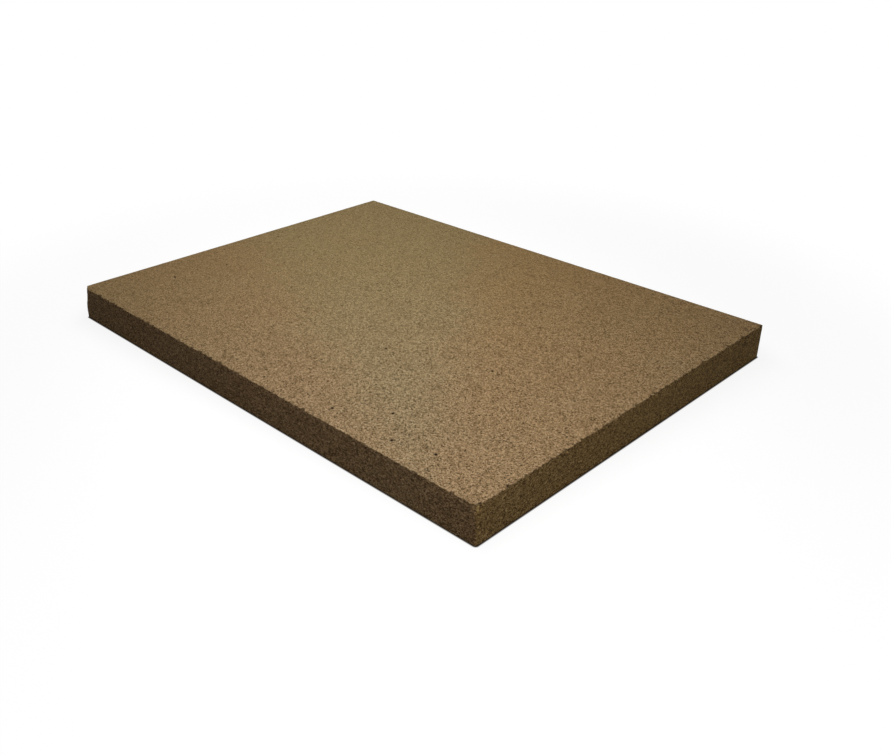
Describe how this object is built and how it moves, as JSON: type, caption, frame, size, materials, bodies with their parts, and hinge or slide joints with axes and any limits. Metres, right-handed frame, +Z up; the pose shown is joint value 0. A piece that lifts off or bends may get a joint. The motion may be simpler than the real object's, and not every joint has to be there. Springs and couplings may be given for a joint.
{
  "type": "vermiculite fire board",
  "caption": "Flat rectangular slab of pressed vermiculite with softly worn arrises, for lining stoves, kilns and fireplaces.",
  "frame": {"origin": "centre of the underside, on the floor that the board lies on", "axes": "+X along the board's length, +Y along its width, +Z up through its thickness"},
  "size_m": [0.4, 0.3, 0.025],
  "materials": {
    "vermiculite": "matt tan-brown pressed vermiculite grain with small dark pits and pale flakes"
  },
  "bodies": {
    "root": {"fire_board": "vermiculite"}
  },
  "joints": []
}
